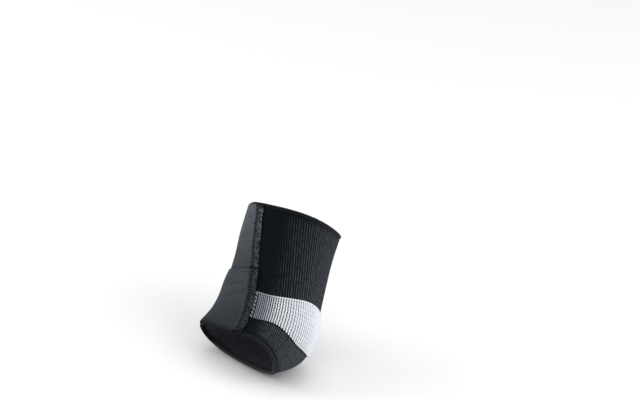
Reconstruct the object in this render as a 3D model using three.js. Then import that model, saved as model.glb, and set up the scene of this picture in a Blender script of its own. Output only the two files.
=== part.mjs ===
// Forefoot support bandage for a right foot, in the shape that it has when it is worn on tiptoe.
// A knitted sleeve with a rolled hem at each end goes round the ball and the instep of the foot.
// A white knitted inset fills a window in the sleeve: it starts beside the seam on top of the foot
// and runs round the inner side and under the sole. Two smooth elastic straps are sewn down along
// the seam and pass round the outer side to the sole, the lower one lapping over the upper one.
// Millimetres and degrees. +Z is up, the toes point to -Y and the big toe is on the +X side.
import * as THREE from "three";

// Walls and clearances
const KNIT_WALL = 1.8;
const STRAP_WALL = 1;
const STRAP_LIFT = 0.45;
const GAP = 0.3;

// Rolled hems: width along the foot, and how far the roll stands out of and into the sleeve wall.
// Under the straps a hem is pressed flat, and a strip of it shows past the strap's edge.
const TOE_HEM = 3;
const INSTEP_HEM = 2.6;
const HEM_OUT = 0.5;
const HEM_IN = 0.4;
const HEM_SHOWS = { toe: 1.2, instep: 1 };

// The toe rim waves along the foot: lower over the small toes, higher between them and the big toe, and
// lower again beside the big toe, where the wave fades out towards the sole
const RIM_WAVE = { medial: 2.7, medialEnd: 1 / 3, medialFade: 0.18, lateral: 2.8 };

// The instep rim rises on the inner side of the foot
const RIM_RISE = { height: 2.3, end: 0.4 };

// The sleeve's outer surface, one row for each section of the foot from the toes to the instep.
// back and up place the middle of the section, tilt is how steeply the foot passes through it, and
// skew turns its big toe side up the foot. ridge is where the top of the foot is highest, and medial,
// lateral, dorsal and plantar reach from there to the inner side, outer side, top and sole.
// seam is how far the strap seam lies from the ridge towards the inner side, along the surface.
const COLUMNS = ["back", "up", "tilt", "skew", "ridge", "medial", "lateral", "dorsal", "plantar", "seam"];
const SECTIONS = [
  [-30, -32, 20, 0, 8, 36, 45.6, 17, 19.5, 7],
  [-18, -22, 36, 0, 9, 42.6, 42.3, 20, 35.4, 8],
  [-6, -6, 48, 2, 9, 42, 39.1, 24, 39, 9],
  [1, 3.4, 51.8, 3, 8.6, 36.9, 37.4, 25.8, 37.3, 7.9],
  [8, 13, 54, 4, 8, 34.8, 37.7, 27.5, 35, 5.6],
  [20, 32, 55, 6, 6, 32, 38.4, 31, 34, 1.6],
  [31, 50, 50, 8, 5, 31.8, 37.9, 34, 33, -3.8],
].map((row) => Object.fromEntries(COLUMNS.map((name, k) => [name, row[k]])));

// How square each quarter of a section is: 2 is an ellipse
const POWER = { dorsalMedial: 2.1, dorsalLateral: 1.9, plantarLateral: 2.6, plantarMedial: 2.5 };

// The foot leans a little to its inner side
const ROLL = 4;

// Places round the foot are shares of the girth, from the seam by the inner side and the sole
const INSET_START = 0.008;
const INSET_END = 0.615;
const STRAP_END = 0.63;
const SEAM = 1;

// Inset edges, as stations along the foot. Both edges rise in a hump on the inner side, and between
// them the inset bulges over the joint of the big toe.
const INSET_LOW = { level: 20.3, hump: 4.6, humpEnd: 0.205 };
const INSET_HIGH = { level: 42.7, hump: 7.9, humpEnd: 0.42 };
const INSET_BULGE = { height: 1.2, power: 6, start: 0.12, end: 0.48 };

// The lower strap's top edge: its station at the seam, and its fall towards the sole for each whole girth
const LAP_STATION = 58.8;
const LAP_FALL = 45;
const LAP_COVER = 6;
const LAP_RAMP = 16;

// The sewn end of each strap: its width, and the groove that the stitches press. The lower strap
// reaches a little past the seam.
const SEWN_END = 5.6;
const LOWER_PAST = 1.4;
const SEWN_GROOVE = 0.45;
const EDGE_ROUND = 1.1;
const EDGE_SHARE = 0.5;

// Facets round the foot, rows of facets along it, and the steps that measure a girth
const INSET_FACETS = 38;
const STRAP_FACETS = 22;
const ROWS = { belowInset: 4, besideInset: 5, aboveInset: 9, hem: 3, upperStrap: 9 };
const LOWER_STRAP_ROWS = { ball: 7, ramp: 4, lap: 2 };
const RING_STEPS = 240;

const radians = THREE.MathUtils.degToRad;
const smoothstep = (t) => THREE.MathUtils.smoothstep(t, 0, 1);

// Stations: the distance along the middles of the sections
const STATIONS = SECTIONS.reduce((found, row, k) => {
  const before = SECTIONS[k - 1];
  return [...found, before ? found[k - 1] + Math.hypot(row.back - before.back, row.up - before.up) : 0];
}, []);
const LENGTH = STATIONS.at(-1);

// Slope of a column at a row, from the parabola through its neighbours
function slope(name, k) {
  const chord = (i) => (SECTIONS[i + 1][name] - SECTIONS[i][name]) / (STATIONS[i + 1] - STATIONS[i]);
  if (k === 0) return chord(0);
  if (k === SECTIONS.length - 1) return chord(k - 1);
  const before = STATIONS[k] - STATIONS[k - 1];
  const after = STATIONS[k + 1] - STATIONS[k];
  return (chord(k - 1) * after + chord(k) * before) / (before + after);
}

// The section at any station, by smooth interpolation of the rows
function sectionAt(station) {
  let k = 0;
  while (k < SECTIONS.length - 2 && station > STATIONS[k + 1]) k += 1;
  const span = STATIONS[k + 1] - STATIONS[k];
  const t = (station - STATIONS[k]) / span;
  const blend = (name) =>
    SECTIONS[k][name] * (1 + 2 * t) * (1 - t) ** 2 +
    SECTIONS[k + 1][name] * t * t * (3 - 2 * t) +
    span * t * (1 - t) * (slope(name, k) * (1 - t) - slope(name, k + 1) * t);
  return Object.fromEntries(COLUMNS.map((name) => [name, blend(name)]));
}

// A point of a section, at an angle from the ridge towards the inner side
function sectionPoint(section, angle) {
  const across = Math.sin(angle);
  const over = Math.cos(angle);
  const [halfWidth, side] = across >= 0 ? [section.medial, "Medial"] : [section.lateral, "Lateral"];
  const [halfHeight, face] = over >= 0 ? [section.dorsal, "dorsal"] : [section.plantar, "plantar"];
  const power = POWER[face + side];
  const sum = Math.abs(across / halfWidth) ** power + Math.abs(over / halfHeight) ** power;
  const reach = sum ** (-1 / power);
  const x = section.ridge + reach * across;
  const height = reach * over;
  const roll = radians(ROLL);
  const tilt = radians(section.tilt);
  const skew = radians(section.skew);
  const rolledX = x * Math.cos(roll) - height * Math.sin(roll);
  const rolledHeight = x * Math.sin(roll) + height * Math.cos(roll);
  const along = rolledX * Math.sin(skew);
  return new THREE.Vector3(
    rolledX * Math.cos(skew),
    section.back - Math.sin(tilt) * rolledHeight + Math.cos(tilt) * along,
    section.up + Math.cos(tilt) * rolledHeight + Math.sin(tilt) * along,
  );
}

// A point of the sleeve's outer surface, at a share of the girth and a station
function skinPoint(share, station) {
  const section = sectionAt(station);
  const angles = Array.from({ length: RING_STEPS + 1 }, (_, k) => (k / RING_STEPS) * 2 * Math.PI);
  const points = angles.map((angle) => sectionPoint(section, angle));
  const reached = [0];
  for (let k = 0; k < RING_STEPS; k += 1) reached.push(reached[k] + points[k].distanceTo(points[k + 1]));
  const girth = reached[RING_STEPS];
  const wanted = THREE.MathUtils.euclideanModulo(section.seam + share * girth, girth);
  let k = 0;
  while (reached[k + 1] < wanted) k += 1;
  return points[k].clone().lerp(points[k + 1], (wanted - reached[k]) / (reached[k + 1] - reached[k]));
}

// Steps along and round the surface, for its directions
const SHARE_STEP = 0.004;
const STATION_STEP = 0.5;
function roundwise(share, station) {
  const step = skinPoint(share + SHARE_STEP, station).sub(skinPoint(share - SHARE_STEP, station));
  return step.divideScalar(2 * SHARE_STEP);
}
function lengthwise(share, station) {
  const step = skinPoint(share, station + STATION_STEP).sub(skinPoint(share, station - STATION_STEP));
  return step.divideScalar(2 * STATION_STEP);
}

// A point that stands off the sleeve's outer surface by a height
function offSkin(share, station, height) {
  const outward = roundwise(share, station).cross(lengthwise(share, station)).normalize();
  return skinPoint(share, station).addScaledVector(outward, height);
}

// The station, and the share, that lie a distance on along the surface
const stationBeyond = (share, station, distance) => station + distance / lengthwise(share, station).length();
const shareBeyond = (share, station, distance) => share + distance / roundwise(share, station).length();

// Edges of the pieces, as stations for each share of the girth
function rimWave(share) {
  const place = THREE.MathUtils.euclideanModulo(share, 1);
  const turn = 2 * Math.PI * place;
  if (place > 1 / 2) return (RIM_WAVE.lateral * Math.sin(2 * turn) * (1 + Math.cos(turn))) / 2;
  const fade = smoothstep((RIM_WAVE.medialEnd - place) / RIM_WAVE.medialFade);
  return RIM_WAVE.medial * Math.sin(3 * turn) * fade;
}
const toeEdge = (share, distance) => stationBeyond(share, 0, rimWave(share) + distance);

// A hump over the inner side of the foot, from 0 at the seam up to 1 and back to 0 at its end
function hump(share, end) {
  const place = THREE.MathUtils.euclideanModulo(share, 1) / end;
  return place < 1 ? Math.sin(place * Math.PI) ** 2 : 0;
}
const rimRise = (share) => RIM_RISE.height * hump(share, RIM_RISE.end);
const instepEdge = (share, distance) => stationBeyond(share, LENGTH, rimRise(share) - distance);
const insetEdge = (edge, share) => edge.level + edge.hump * hump(share, edge.humpEnd);
const lapEdge = (share) => LAP_STATION - LAP_FALL * (SEAM - share);

// How far the inset bulges at a share of the girth, and a place from 0 to 1 between its edges
function insetBulge(share, across) {
  const place = (share - INSET_BULGE.start) / (INSET_BULGE.end - INSET_BULGE.start);
  const round = Math.sin(THREE.MathUtils.clamp(place, 0, 1) * Math.PI) ** 2;
  return INSET_BULGE.height * round * (1 - Math.abs(2 * across - 1) ** INSET_BULGE.power);
}

// Even steps from one value to another, without the last
const steps = (from, to, count) => Array.from({ length: count }, (_, k) => from + ((to - from) * k) / count);

// Rows of stations between edges, with a count of rows for each stretch
function rowsBetween(edges, counts) {
  const rows = counts.flatMap((count, k) =>
    steps(0, 1, count).map((t) => (share) => THREE.MathUtils.lerp(edges[k](share), edges[k + 1](share), t)),
  );
  return [...rows, edges.at(-1)];
}

// A closed wall over a grid of rows and columns. heights gives the wall's inner and outer height off
// the sleeve's surface at each grid point, closed joins the last column to the first, and filled
// tells which cells of the grid are there.
function wall({ rows, columns, heights, closed = false, filled = () => true }) {
  const across = columns.length;
  const positions = [];
  rows.forEach((row, i) =>
    columns.forEach((share, j) => {
      const station = row(share);
      const points = heights(share, station, i, j).map((height) => offSkin(share, station, height));
      points.forEach((point) => positions.push(...point.toArray()));
    }),
  );
  const inner = (i, j) => 2 * (i * across + (j % across));
  const triangles = [];
  const quad = (a, b, c, d) => triangles.push(a, b, c, a, c, d);
  const edges = new Set();
  for (let i = 0; i < rows.length - 1; i += 1) {
    for (let j = 0; j < (closed ? across : across - 1); j += 1) {
      if (!filled(i, j)) continue;
      const corners = [inner(i, j), inner(i, j + 1), inner(i + 1, j + 1), inner(i + 1, j)];
      quad(...corners.map((corner) => corner + 1));
      quad(...corners.toReversed());
      corners.forEach((corner, k) => edges.add(`${corner},${corners[(k + 1) % 4]}`));
    }
  }
  for (const edge of edges) {
    const [from, to] = edge.split(",").map(Number);
    if (!edges.has(`${to},${from}`)) quad(to + 1, from + 1, from, to);
  }
  const geometry = new THREE.BufferGeometry();
  geometry.setAttribute("position", new THREE.Float32BufferAttribute(positions, 3));
  geometry.setIndex(triangles);
  geometry.computeVertexNormals();
  return geometry;
}

// Columns of a strap, from its plain end under the sole to its sewn end at or past the seam
const GIRTH = roundwise(SEAM, LENGTH / 2).length();
const SEWN_MARKS = [SEWN_END + EDGE_ROUND, SEWN_END, SEWN_END - EDGE_ROUND, SEWN_END / 2, EDGE_ROUND, 0];
const GROOVE_MARK = 1;
function strapColumns(past) {
  const sewn = SEWN_MARKS.map((distance) => SEAM + (past - distance) / GIRTH);
  const plain = steps(STRAP_END + EDGE_ROUND / GIRTH, sewn[0], STRAP_FACETS);
  return { columns: [STRAP_END, ...plain, ...sewn], groove: sewn[GROOVE_MARK] };
}

// Columns right round the foot: the inset's, then the straps', so that the straps lie flat on the sleeve
const insetColumns = [...steps(INSET_START, INSET_END, INSET_FACETS), INSET_END];
const ringColumns = [...insetColumns, ...strapColumns(0).columns];

// Knitted sleeve with a window for the inset
function knitSleeve() {
  const besideStart = ROWS.belowInset;
  const besideEnd = besideStart + ROWS.besideInset;
  return wall({
    rows: rowsBetween(
      [
        (share) => toeEdge(share, TOE_HEM + GAP),
        (share) => insetEdge(INSET_LOW, share),
        (share) => insetEdge(INSET_HIGH, share),
        (share) => instepEdge(share, INSTEP_HEM + GAP),
      ],
      [ROWS.belowInset, ROWS.besideInset, ROWS.aboveInset],
    ),
    columns: ringColumns,
    closed: true,
    heights: () => [-KNIT_WALL, 0],
    filled: (i, j) => i < besideStart || i >= besideEnd || j >= INSET_FACETS,
  });
}

// White knitted inset, clear of the window's edges all round
function knitInset() {
  const middle = (INSET_LOW.level + INSET_HIGH.level) / 2;
  const start = shareBeyond(INSET_START, middle, GAP);
  const end = shareBeyond(INSET_END, middle, -GAP);
  return wall({
    rows: rowsBetween(
      [
        (share) => stationBeyond(share, insetEdge(INSET_LOW, share), GAP),
        (share) => stationBeyond(share, insetEdge(INSET_HIGH, share), -GAP),
      ],
      [ROWS.besideInset],
    ),
    columns: [...steps(start, end, INSET_FACETS), end],
    heights: (share, station, i) => {
      const rise = insetBulge(share, i / ROWS.besideInset);
      return [rise - KNIT_WALL, rise];
    },
  });
}

// A rolled hem between two edges: full in the middle of its width, and lower at both sides
function rolledHem(from, to) {
  const rows = rowsBetween([from, to], [ROWS.hem]);
  const roll = (i) => (i === 0 || i === rows.length - 1 ? 0 : 1);
  const bare = (share) => (share > INSET_START && share < STRAP_END ? 1 : 0);
  return wall({
    rows,
    columns: ringColumns,
    closed: true,
    heights: (share, station, i) => [-KNIT_WALL - HEM_IN * roll(i), HEM_OUT * roll(i) * bare(share)],
  });
}

const toeHem = () => rolledHem((share) => toeEdge(share, 0), (share) => toeEdge(share, TOE_HEM));
const instepHem = () => rolledHem((share) => instepEdge(share, INSTEP_HEM), (share) => instepEdge(share, 0));

// An elastic strap over the given edges, with round edges and a stitched groove along its sewn end.
// floor gives the height of what it lies on, and past is how far the sewn end reaches past the seam.
function strap(edges, counts, floor, past) {
  const { columns, groove } = strapColumns(past);
  const low = edges[0];
  const high = edges.at(-1);
  const lowRounded = (share) => stationBeyond(share, low(share), EDGE_ROUND);
  const highRounded = (share) => stationBeyond(share, high(share), -EDGE_ROUND);
  const rows = rowsBetween([low, lowRounded, ...edges.slice(1, -1), highRounded, high], [1, ...counts, 1]);
  const last = { row: rows.length - 1, column: columns.length - 1 };
  return wall({
    rows,
    columns,
    heights: (share, station, i, j) => {
      const atEdge = i === 0 || j === 0 || i === last.row || j === last.column;
      const full = share === groove ? STRAP_WALL - SEWN_GROOVE : STRAP_WALL;
      const under = floor(share, station) + STRAP_LIFT;
      return [under, under + (atEdge ? STRAP_WALL * EDGE_SHARE : full)];
    },
  });
}

// Upper strap, from under the lower strap to the instep rim
function upperStrap() {
  return strap(
    [(share) => lapEdge(share) - LAP_COVER, (share) => instepEdge(share, HEM_SHOWS.instep)],
    [ROWS.upperStrap],
    () => 0,
    0,
  );
}

// Lower strap, from the toe rim up over the edge of the upper strap
function lowerStrap() {
  const rampEnd = (share) => lapEdge(share) - LAP_COVER - GAP;
  const rampStart = (share) => rampEnd(share) - LAP_RAMP;
  const climb = (share, station) => smoothstep((station - rampStart(share)) / LAP_RAMP);
  return strap(
    [(share) => toeEdge(share, HEM_SHOWS.toe), rampStart, rampEnd, lapEdge],
    [LOWER_STRAP_ROWS.ball, LOWER_STRAP_ROWS.ramp, LOWER_STRAP_ROWS.lap],
    (share, station) => climb(share, station) * (STRAP_WALL + GAP),
    LOWER_PAST,
  );
}

const blackKnit = new THREE.MeshStandardMaterial({ color: 0x24262a, roughness: 0.9, metalness: 0 });
const whiteKnit = new THREE.MeshStandardMaterial({ color: 0xdedfe6, roughness: 0.85, metalness: 0 });
const greyElastic = new THREE.MeshStandardMaterial({ color: 0x4a4c50, roughness: 0.8, metalness: 0 });
const hemKnit = new THREE.MeshStandardMaterial({ color: 0x17181b, roughness: 0.85, metalness: 0 });

const PIECES = [
  ["knit_sleeve", knitSleeve(), blackKnit],
  ["knit_inset", knitInset(), whiteKnit],
  ["toe_hem", toeHem(), hemKnit],
  ["instep_hem", instepHem(), hemKnit],
  ["upper_strap", upperStrap(), greyElastic],
  ["lower_strap", lowerStrap(), greyElastic],
];

const bandage = new THREE.Group();
for (const [name, geometry, material] of PIECES) {
  const piece = new THREE.Mesh(geometry, material);
  piece.name = name;
  bandage.add(piece);
}

export default bandage;
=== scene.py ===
"""Forefoot support bandage: knitted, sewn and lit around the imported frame.

The section table and the edges repeat those of the CAD part, in millimetres. Every piece is laid on the
same surface: a share of the girth from the seam, a station along the foot and a height off the surface.
"""

import math

import bpy
import numpy as np
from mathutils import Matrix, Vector


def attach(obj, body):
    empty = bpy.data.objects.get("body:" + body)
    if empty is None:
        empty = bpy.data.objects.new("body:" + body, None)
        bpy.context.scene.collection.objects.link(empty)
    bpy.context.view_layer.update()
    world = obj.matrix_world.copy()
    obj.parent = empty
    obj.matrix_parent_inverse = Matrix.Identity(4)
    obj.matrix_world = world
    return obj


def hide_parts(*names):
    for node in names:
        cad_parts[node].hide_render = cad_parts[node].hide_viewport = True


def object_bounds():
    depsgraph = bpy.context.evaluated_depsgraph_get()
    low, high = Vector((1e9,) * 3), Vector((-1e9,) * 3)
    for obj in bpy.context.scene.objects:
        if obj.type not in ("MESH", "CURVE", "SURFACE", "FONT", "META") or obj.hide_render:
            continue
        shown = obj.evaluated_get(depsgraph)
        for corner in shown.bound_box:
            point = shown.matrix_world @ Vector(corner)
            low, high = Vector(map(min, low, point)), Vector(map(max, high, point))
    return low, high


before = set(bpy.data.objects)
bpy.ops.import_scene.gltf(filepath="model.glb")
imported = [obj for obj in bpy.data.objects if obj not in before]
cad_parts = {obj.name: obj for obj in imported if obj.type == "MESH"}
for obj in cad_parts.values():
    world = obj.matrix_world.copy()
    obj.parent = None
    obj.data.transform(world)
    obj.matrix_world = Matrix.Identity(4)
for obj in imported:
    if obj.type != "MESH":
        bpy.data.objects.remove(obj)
cad_low, cad_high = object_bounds()

MM = 0.001

# Walls and clearances
KNIT_WALL = 1.8
STRAP_WALL = 1.0
STRAP_LIFT = 0.45
GAP = 0.3

# Hems, the strip of them that shows past the straps, the wave of the toe rim and the instep rim's rise
TOE_HEM = 3.0
INSTEP_HEM = 2.6
HEM_OUT = 0.5
HEM_IN = 0.4
HEM_SHOWS = {"toe": 1.2, "instep": 1.0}
RIM_WAVE = {"medial": 2.7, "medial_end": 1 / 3, "medial_fade": 0.18, "lateral": 2.8}
RIM_RISE = {"height": 2.3, "end": 0.4}

# Sections of the foot from the toes to the instep
COLUMNS = ("back", "up", "tilt", "skew", "ridge", "medial", "lateral", "dorsal", "plantar", "seam")
SECTIONS = np.array(
    [
        (-30, -32, 20, 0, 8, 36, 45.6, 17, 19.5, 7),
        (-18, -22, 36, 0, 9, 42.6, 42.3, 20, 35.4, 8),
        (-6, -6, 48, 2, 9, 42, 39.1, 24, 39, 9),
        (1, 3.4, 51.8, 3, 8.6, 36.9, 37.4, 25.8, 37.3, 7.9),
        (8, 13, 54, 4, 8, 34.8, 37.7, 27.5, 35, 5.6),
        (20, 32, 55, 6, 6, 32, 38.4, 31, 34, 1.6),
        (31, 50, 50, 8, 5, 31.8, 37.9, 34, 33, -3.8),
    ],
    float,
)
POWER = {"dorsal_medial": 2.1, "dorsal_lateral": 1.9, "plantar_lateral": 2.6, "plantar_medial": 2.5}
ROLL = math.radians(4)

# Shares of the girth, the inset's edges as stations, its bulge, the lap's edge, and how far the lower
# strap reaches past the seam
INSET_START = 0.008
STRAP_END = 0.63
SEAM = 1.0
INSET_LOW = {"level": 20.3, "hump": 4.6, "hump_end": 0.205}
INSET_HIGH = {"level": 42.7, "hump": 7.9, "hump_end": 0.42}
INSET_BULGE = {"height": 1.2, "power": 6, "start": 0.12, "end": 0.48}
LAP_STATION = 58.8
LAP_FALL = 45.0
LAP_COVER = 6.0
LAP_RAMP = 16.0
LOWER_PAST = 1.4

# The camera, as fitted to the photo: view angles, distance, scale, the origin's place in the picture,
# sensor and clipping
AZIMUTH = math.radians(45)
ELEVATION = math.radians(28)
DISTANCE = 1600.0
PIXELS_PER_MM = 1.36
PICTURE = (640, 400)
ORIGIN_PIXEL = (262, 292)
SENSOR = 36.0
CLIP_START = 0.05
CLIP_END = 50

STATIONS = np.concatenate([[0], np.cumsum(np.hypot(*np.diff(SECTIONS[:, :2], axis=0).T))])
SLOPES = np.gradient(SECTIONS, STATIONS, axis=0)
LENGTH = STATIONS[-1]


def smoothstep(t):
    """0 below 0, 1 above 1 and smooth between."""
    t = np.clip(t, 0, 1)
    return t * t * (3 - 2 * t)


def sections_at(stations):
    """Every column of the section table at the given stations, by smooth interpolation."""
    k = np.clip(np.searchsorted(STATIONS, stations) - 1, 0, len(STATIONS) - 2)
    span = (STATIONS[k + 1] - STATIONS[k])[:, None]
    t = (stations - STATIONS[k])[:, None] / span
    values = (
        SECTIONS[k] * (1 + 2 * t) * (1 - t) ** 2
        + SECTIONS[k + 1] * t**2 * (3 - 2 * t)
        + span * t * (1 - t) * (SLOPES[k] * (1 - t) - SLOPES[k + 1] * t)
    )
    return dict(zip(COLUMNS, values.T[:, :, None]))


def section_points(section, angles):
    """Points of the sections at angles from the ridge towards the inner side of the foot."""
    across, over = np.sin(angles), np.cos(angles)
    medial, dorsal = across >= 0, over >= 0
    half_width = np.where(medial, section["medial"], section["lateral"])
    half_height = np.where(dorsal, section["dorsal"], section["plantar"])
    power = np.where(
        dorsal,
        np.where(medial, POWER["dorsal_medial"], POWER["dorsal_lateral"]),
        np.where(medial, POWER["plantar_medial"], POWER["plantar_lateral"]),
    )
    reach = (np.abs(across / half_width) ** power + np.abs(over / half_height) ** power) ** (-1 / power)
    x, height = section["ridge"] + reach * across, reach * over
    rolled_x = x * math.cos(ROLL) - height * math.sin(ROLL)
    rolled_height = x * math.sin(ROLL) + height * math.cos(ROLL)
    tilt, skew = np.radians(section["tilt"]), np.radians(section["skew"])
    along = rolled_x * np.sin(skew)
    y = section["back"] - np.sin(tilt) * rolled_height + np.cos(tilt) * along
    z = section["up"] + np.cos(tilt) * rolled_height + np.sin(tilt) * along
    return np.stack([rolled_x * np.cos(skew), y, z], axis=-1)


# A fine table of the surface: stations down, shares of the girth across
GRID_FROM = -10.0
GRID_TO = LENGTH + 6.0
GRID_STEP = 0.5
GRID_ROUND = 1200
GRID_ANGLES = 721


def surface_table():
    """Points of the sleeve's outer surface, and the girth at each station."""
    stations = np.arange(GRID_FROM, GRID_TO, GRID_STEP)
    section = sections_at(stations)
    points = section_points(section, np.linspace(0, 2 * math.pi, GRID_ANGLES)[None, :])
    steps = np.linalg.norm(np.diff(points, axis=1), axis=2)
    reached = np.concatenate([np.zeros((len(stations), 1)), np.cumsum(steps, axis=1)], axis=1)
    girths = reached[:, -1]
    shares = np.linspace(0, 1, GRID_ROUND + 1)
    rows = []
    for row, arc, girth, seam in zip(points, reached, girths, section["seam"][:, 0]):
        wanted = (seam + shares * girth) % girth
        rows.append(np.stack([np.interp(wanted, arc, row[:, axis]) for axis in range(3)], axis=1))
    return np.array(rows), girths


SURFACE, GIRTHS = surface_table()


def skin(share, station):
    """Points of the sleeve's outer surface."""
    row = (station - GRID_FROM) / GRID_STEP
    i = np.clip(np.floor(row).astype(int), 0, len(SURFACE) - 2)
    column = (share % 1) * GRID_ROUND
    j = np.clip(np.floor(column).astype(int), 0, GRID_ROUND - 1)
    t, u = (row - i)[..., None], (column - j)[..., None]
    low = SURFACE[i, j] * (1 - u) + SURFACE[i, j + 1] * u
    high = SURFACE[i + 1, j] * (1 - u) + SURFACE[i + 1, j + 1] * u
    return low * (1 - t) + high * t


def girth_at(station):
    """The girth at stations along the foot."""
    return np.interp(station, np.arange(len(GIRTHS)) * GRID_STEP + GRID_FROM, GIRTHS)


# Steps over which the surface's directions are measured
SHARE_STEP = 0.004
STATION_STEP = 1.0


def lengthwise(share, station):
    """The surface's step for each millimetre of station."""
    step = skin(share, station + STATION_STEP) - skin(share, station - STATION_STEP)
    return step / (2 * STATION_STEP)


def stretch(share, station):
    """Millimetres of surface for each millimetre of station."""
    return np.linalg.norm(lengthwise(share, station), axis=-1)


def off_skin(share, station, height):
    """Points at a height off the sleeve's outer surface."""
    around = skin(share + SHARE_STEP, station) - skin(share - SHARE_STEP, station)
    outward = np.cross(around, lengthwise(share, station))
    outward /= np.linalg.norm(outward, axis=-1, keepdims=True)
    return skin(share, station) + outward * np.asarray(height)[..., None]


def beyond(share, station, distance):
    """The station a distance further along the surface."""
    return station + distance / stretch(share, station)


def toe_edge(share, distance):
    """Stations of a line at a distance from the toe rim."""
    place = share % 1
    turn = 2 * math.pi * place
    lateral = RIM_WAVE["lateral"] * np.sin(2 * turn) * (1 + np.cos(turn)) / 2
    fade = smoothstep((RIM_WAVE["medial_end"] - place) / RIM_WAVE["medial_fade"])
    medial = RIM_WAVE["medial"] * np.sin(3 * turn) * fade
    return beyond(share, np.zeros_like(share), np.where(place > 0.5, lateral, medial) + distance)


def hump(share, end):
    """A hump over the inner side of the foot, from 0 at the seam up to 1 and back to 0 at its end."""
    place = (share % 1) / end
    return np.where(place < 1, np.sin(place * math.pi) ** 2, 0)


def instep_edge(share, distance):
    """Stations of a line at a distance from the instep rim."""
    lift = RIM_RISE["height"] * hump(share, RIM_RISE["end"])
    return beyond(share, np.full_like(share, LENGTH), lift - distance)


def inset_edge(edge, share):
    """Stations of the inset's lower or upper edge."""
    return edge["level"] + edge["hump"] * hump(share, edge["hump_end"])


def inset_bulge(share, across):
    """How far the inset bulges at places from 0 to 1 between its edges."""
    place = (share - INSET_BULGE["start"]) / (INSET_BULGE["end"] - INSET_BULGE["start"])
    around = np.sin(np.clip(place, 0, 1) * math.pi) ** 2
    return INSET_BULGE["height"] * around * (1 - np.abs(2 * across - 1) ** INSET_BULGE["power"])


def lap_edge(share):
    """Stations of the lower strap's top edge."""
    return LAP_STATION - LAP_FALL * (SEAM - share)


LOWER_SEAM = SEAM + LOWER_PAST / girth_at(LENGTH / 2)

# Ribs of the knit, counted round the girth from the inset's start: narrow by the seam and full further on
RIBS = 110
NARROW_RIBS = 18
NARROWEST = 0.68
INSET_RIBS = 68
RIB_WIDTHS = NARROWEST + (1 - NARROWEST) * smoothstep(np.arange(RIBS) / NARROW_RIBS)
RIB_EDGES = np.concatenate([[0], np.cumsum(RIB_WIDTHS)]) / RIB_WIDTHS.sum()


def rib_share(rib):
    """Shares of the girth at ribs counted from the inset's start."""
    return INSET_START + np.interp(rib, np.arange(RIBS + 1), RIB_EDGES)


INSET_END = rib_share(INSET_RIBS)

# Edges of a mesh sharper than this stay sharp
SHARP = math.radians(80)


def rows_between(shares, edges, counts):
    """Stations in rows between edges, with a count of rows for each stretch."""
    lines = [edge(shares) for edge in edges]
    rows = []
    for low, high, count in zip(lines, lines[1:], counts):
        rows += [low + (high - low) * k / count for k in range(count)]
    return np.array([*rows, lines[-1]])


def grid_faces(rows, across, closed, filled, start=0):
    """Quads of a grid facing the first way round, and the row and column of each corner."""
    i, j = np.meshgrid(np.arange(rows - 1), np.arange(across if closed else across - 1), indexing="ij")
    keep = filled(i, j)
    i, j = i[keep], j[keep]
    down = np.stack([i, i, i + 1, i + 1], axis=1)
    right = np.stack([j, j + 1, j + 1, j], axis=1)
    return start + down * across + right % across, down, right


def everywhere(i, j):
    """A grid without a window."""
    return np.ones(i.shape, bool)


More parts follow.
